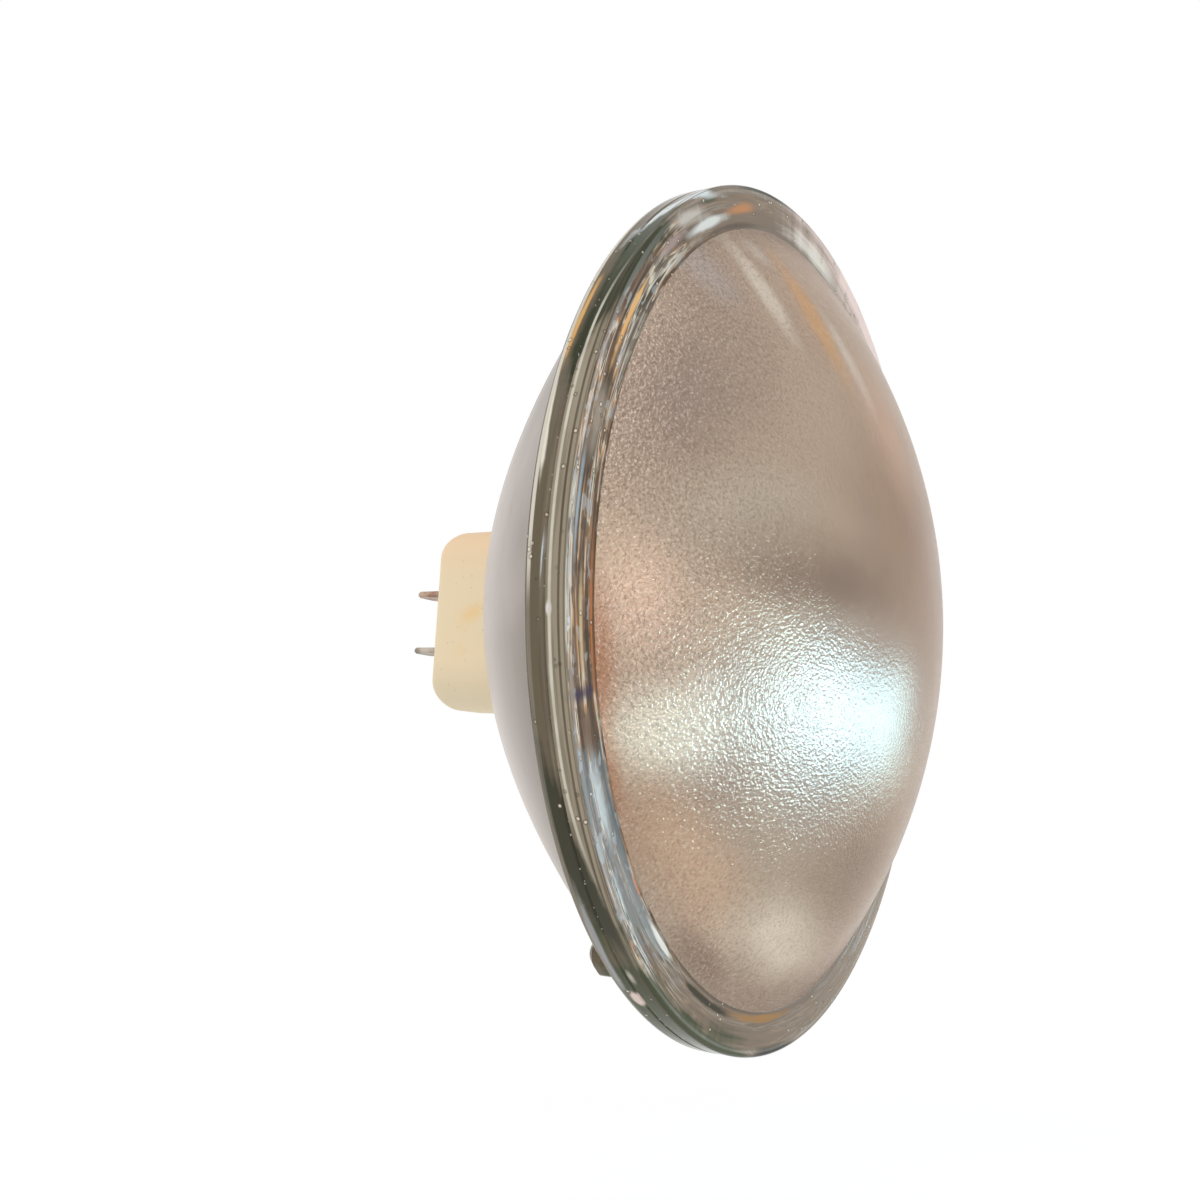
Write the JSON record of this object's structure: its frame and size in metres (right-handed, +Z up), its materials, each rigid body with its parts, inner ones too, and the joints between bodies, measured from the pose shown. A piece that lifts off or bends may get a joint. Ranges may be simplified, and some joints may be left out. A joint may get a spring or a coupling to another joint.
{
  "type": "par spotlight bulb",
  "caption": "Sealed-beam spotlight lamp: domed stippled glass lens on a mirrored glass bowl, quartz burner inside, ceramic base with two flat contact blades.",
  "frame": {"origin": "on the beam axis, in the plane where the lens is fused to the reflector, at the middle of the rim", "axes": "-Y is the way the light leaves, through the lens; +Y points out of the base along the blades; the two blades are stacked along Z, +Z up"},
  "size_m": [0.2032, 0.1431, 0.2032],
  "materials": {
    "lens_glass": "stippled pressed glass",
    "reflector_glass": "pressed glass, mirrored inside, satin grey seen from behind",
    "ceramic": "matt cream ceramic",
    "cement": "rough cement",
    "contact_metal": "nickel plate, dull",
    "nickel": "satin",
    "tungsten": "dark grey wire",
    "quartz": "clear quartz"
  },
  "bodies": {
    "root": {"lens": "lens_glass", "reflector": "reflector_glass", "ceramic_base": "ceramic", "base_cement": "cement", "filament": "tungsten", "filament_anchor": "tungsten", "burner_envelope": "quartz", "prong_upper": "contact_metal", "prong_strap_upper": "nickel", "ferrule_upper": "nickel", "support_post_upper": "nickel", "burner_tab_upper": "nickel", "outer_lead_upper": "nickel", "foil_upper": "nickel", "inner_lead_upper": "tungsten", "prong_lower": "contact_metal", "prong_strap_lower": "nickel", "ferrule_lower": "nickel", "support_post_lower": "nickel", "burner_tab_lower": "nickel", "outer_lead_lower": "nickel", "foil_lower": "nickel", "inner_lead_lower": "tungsten"}
  },
  "joints": []
}
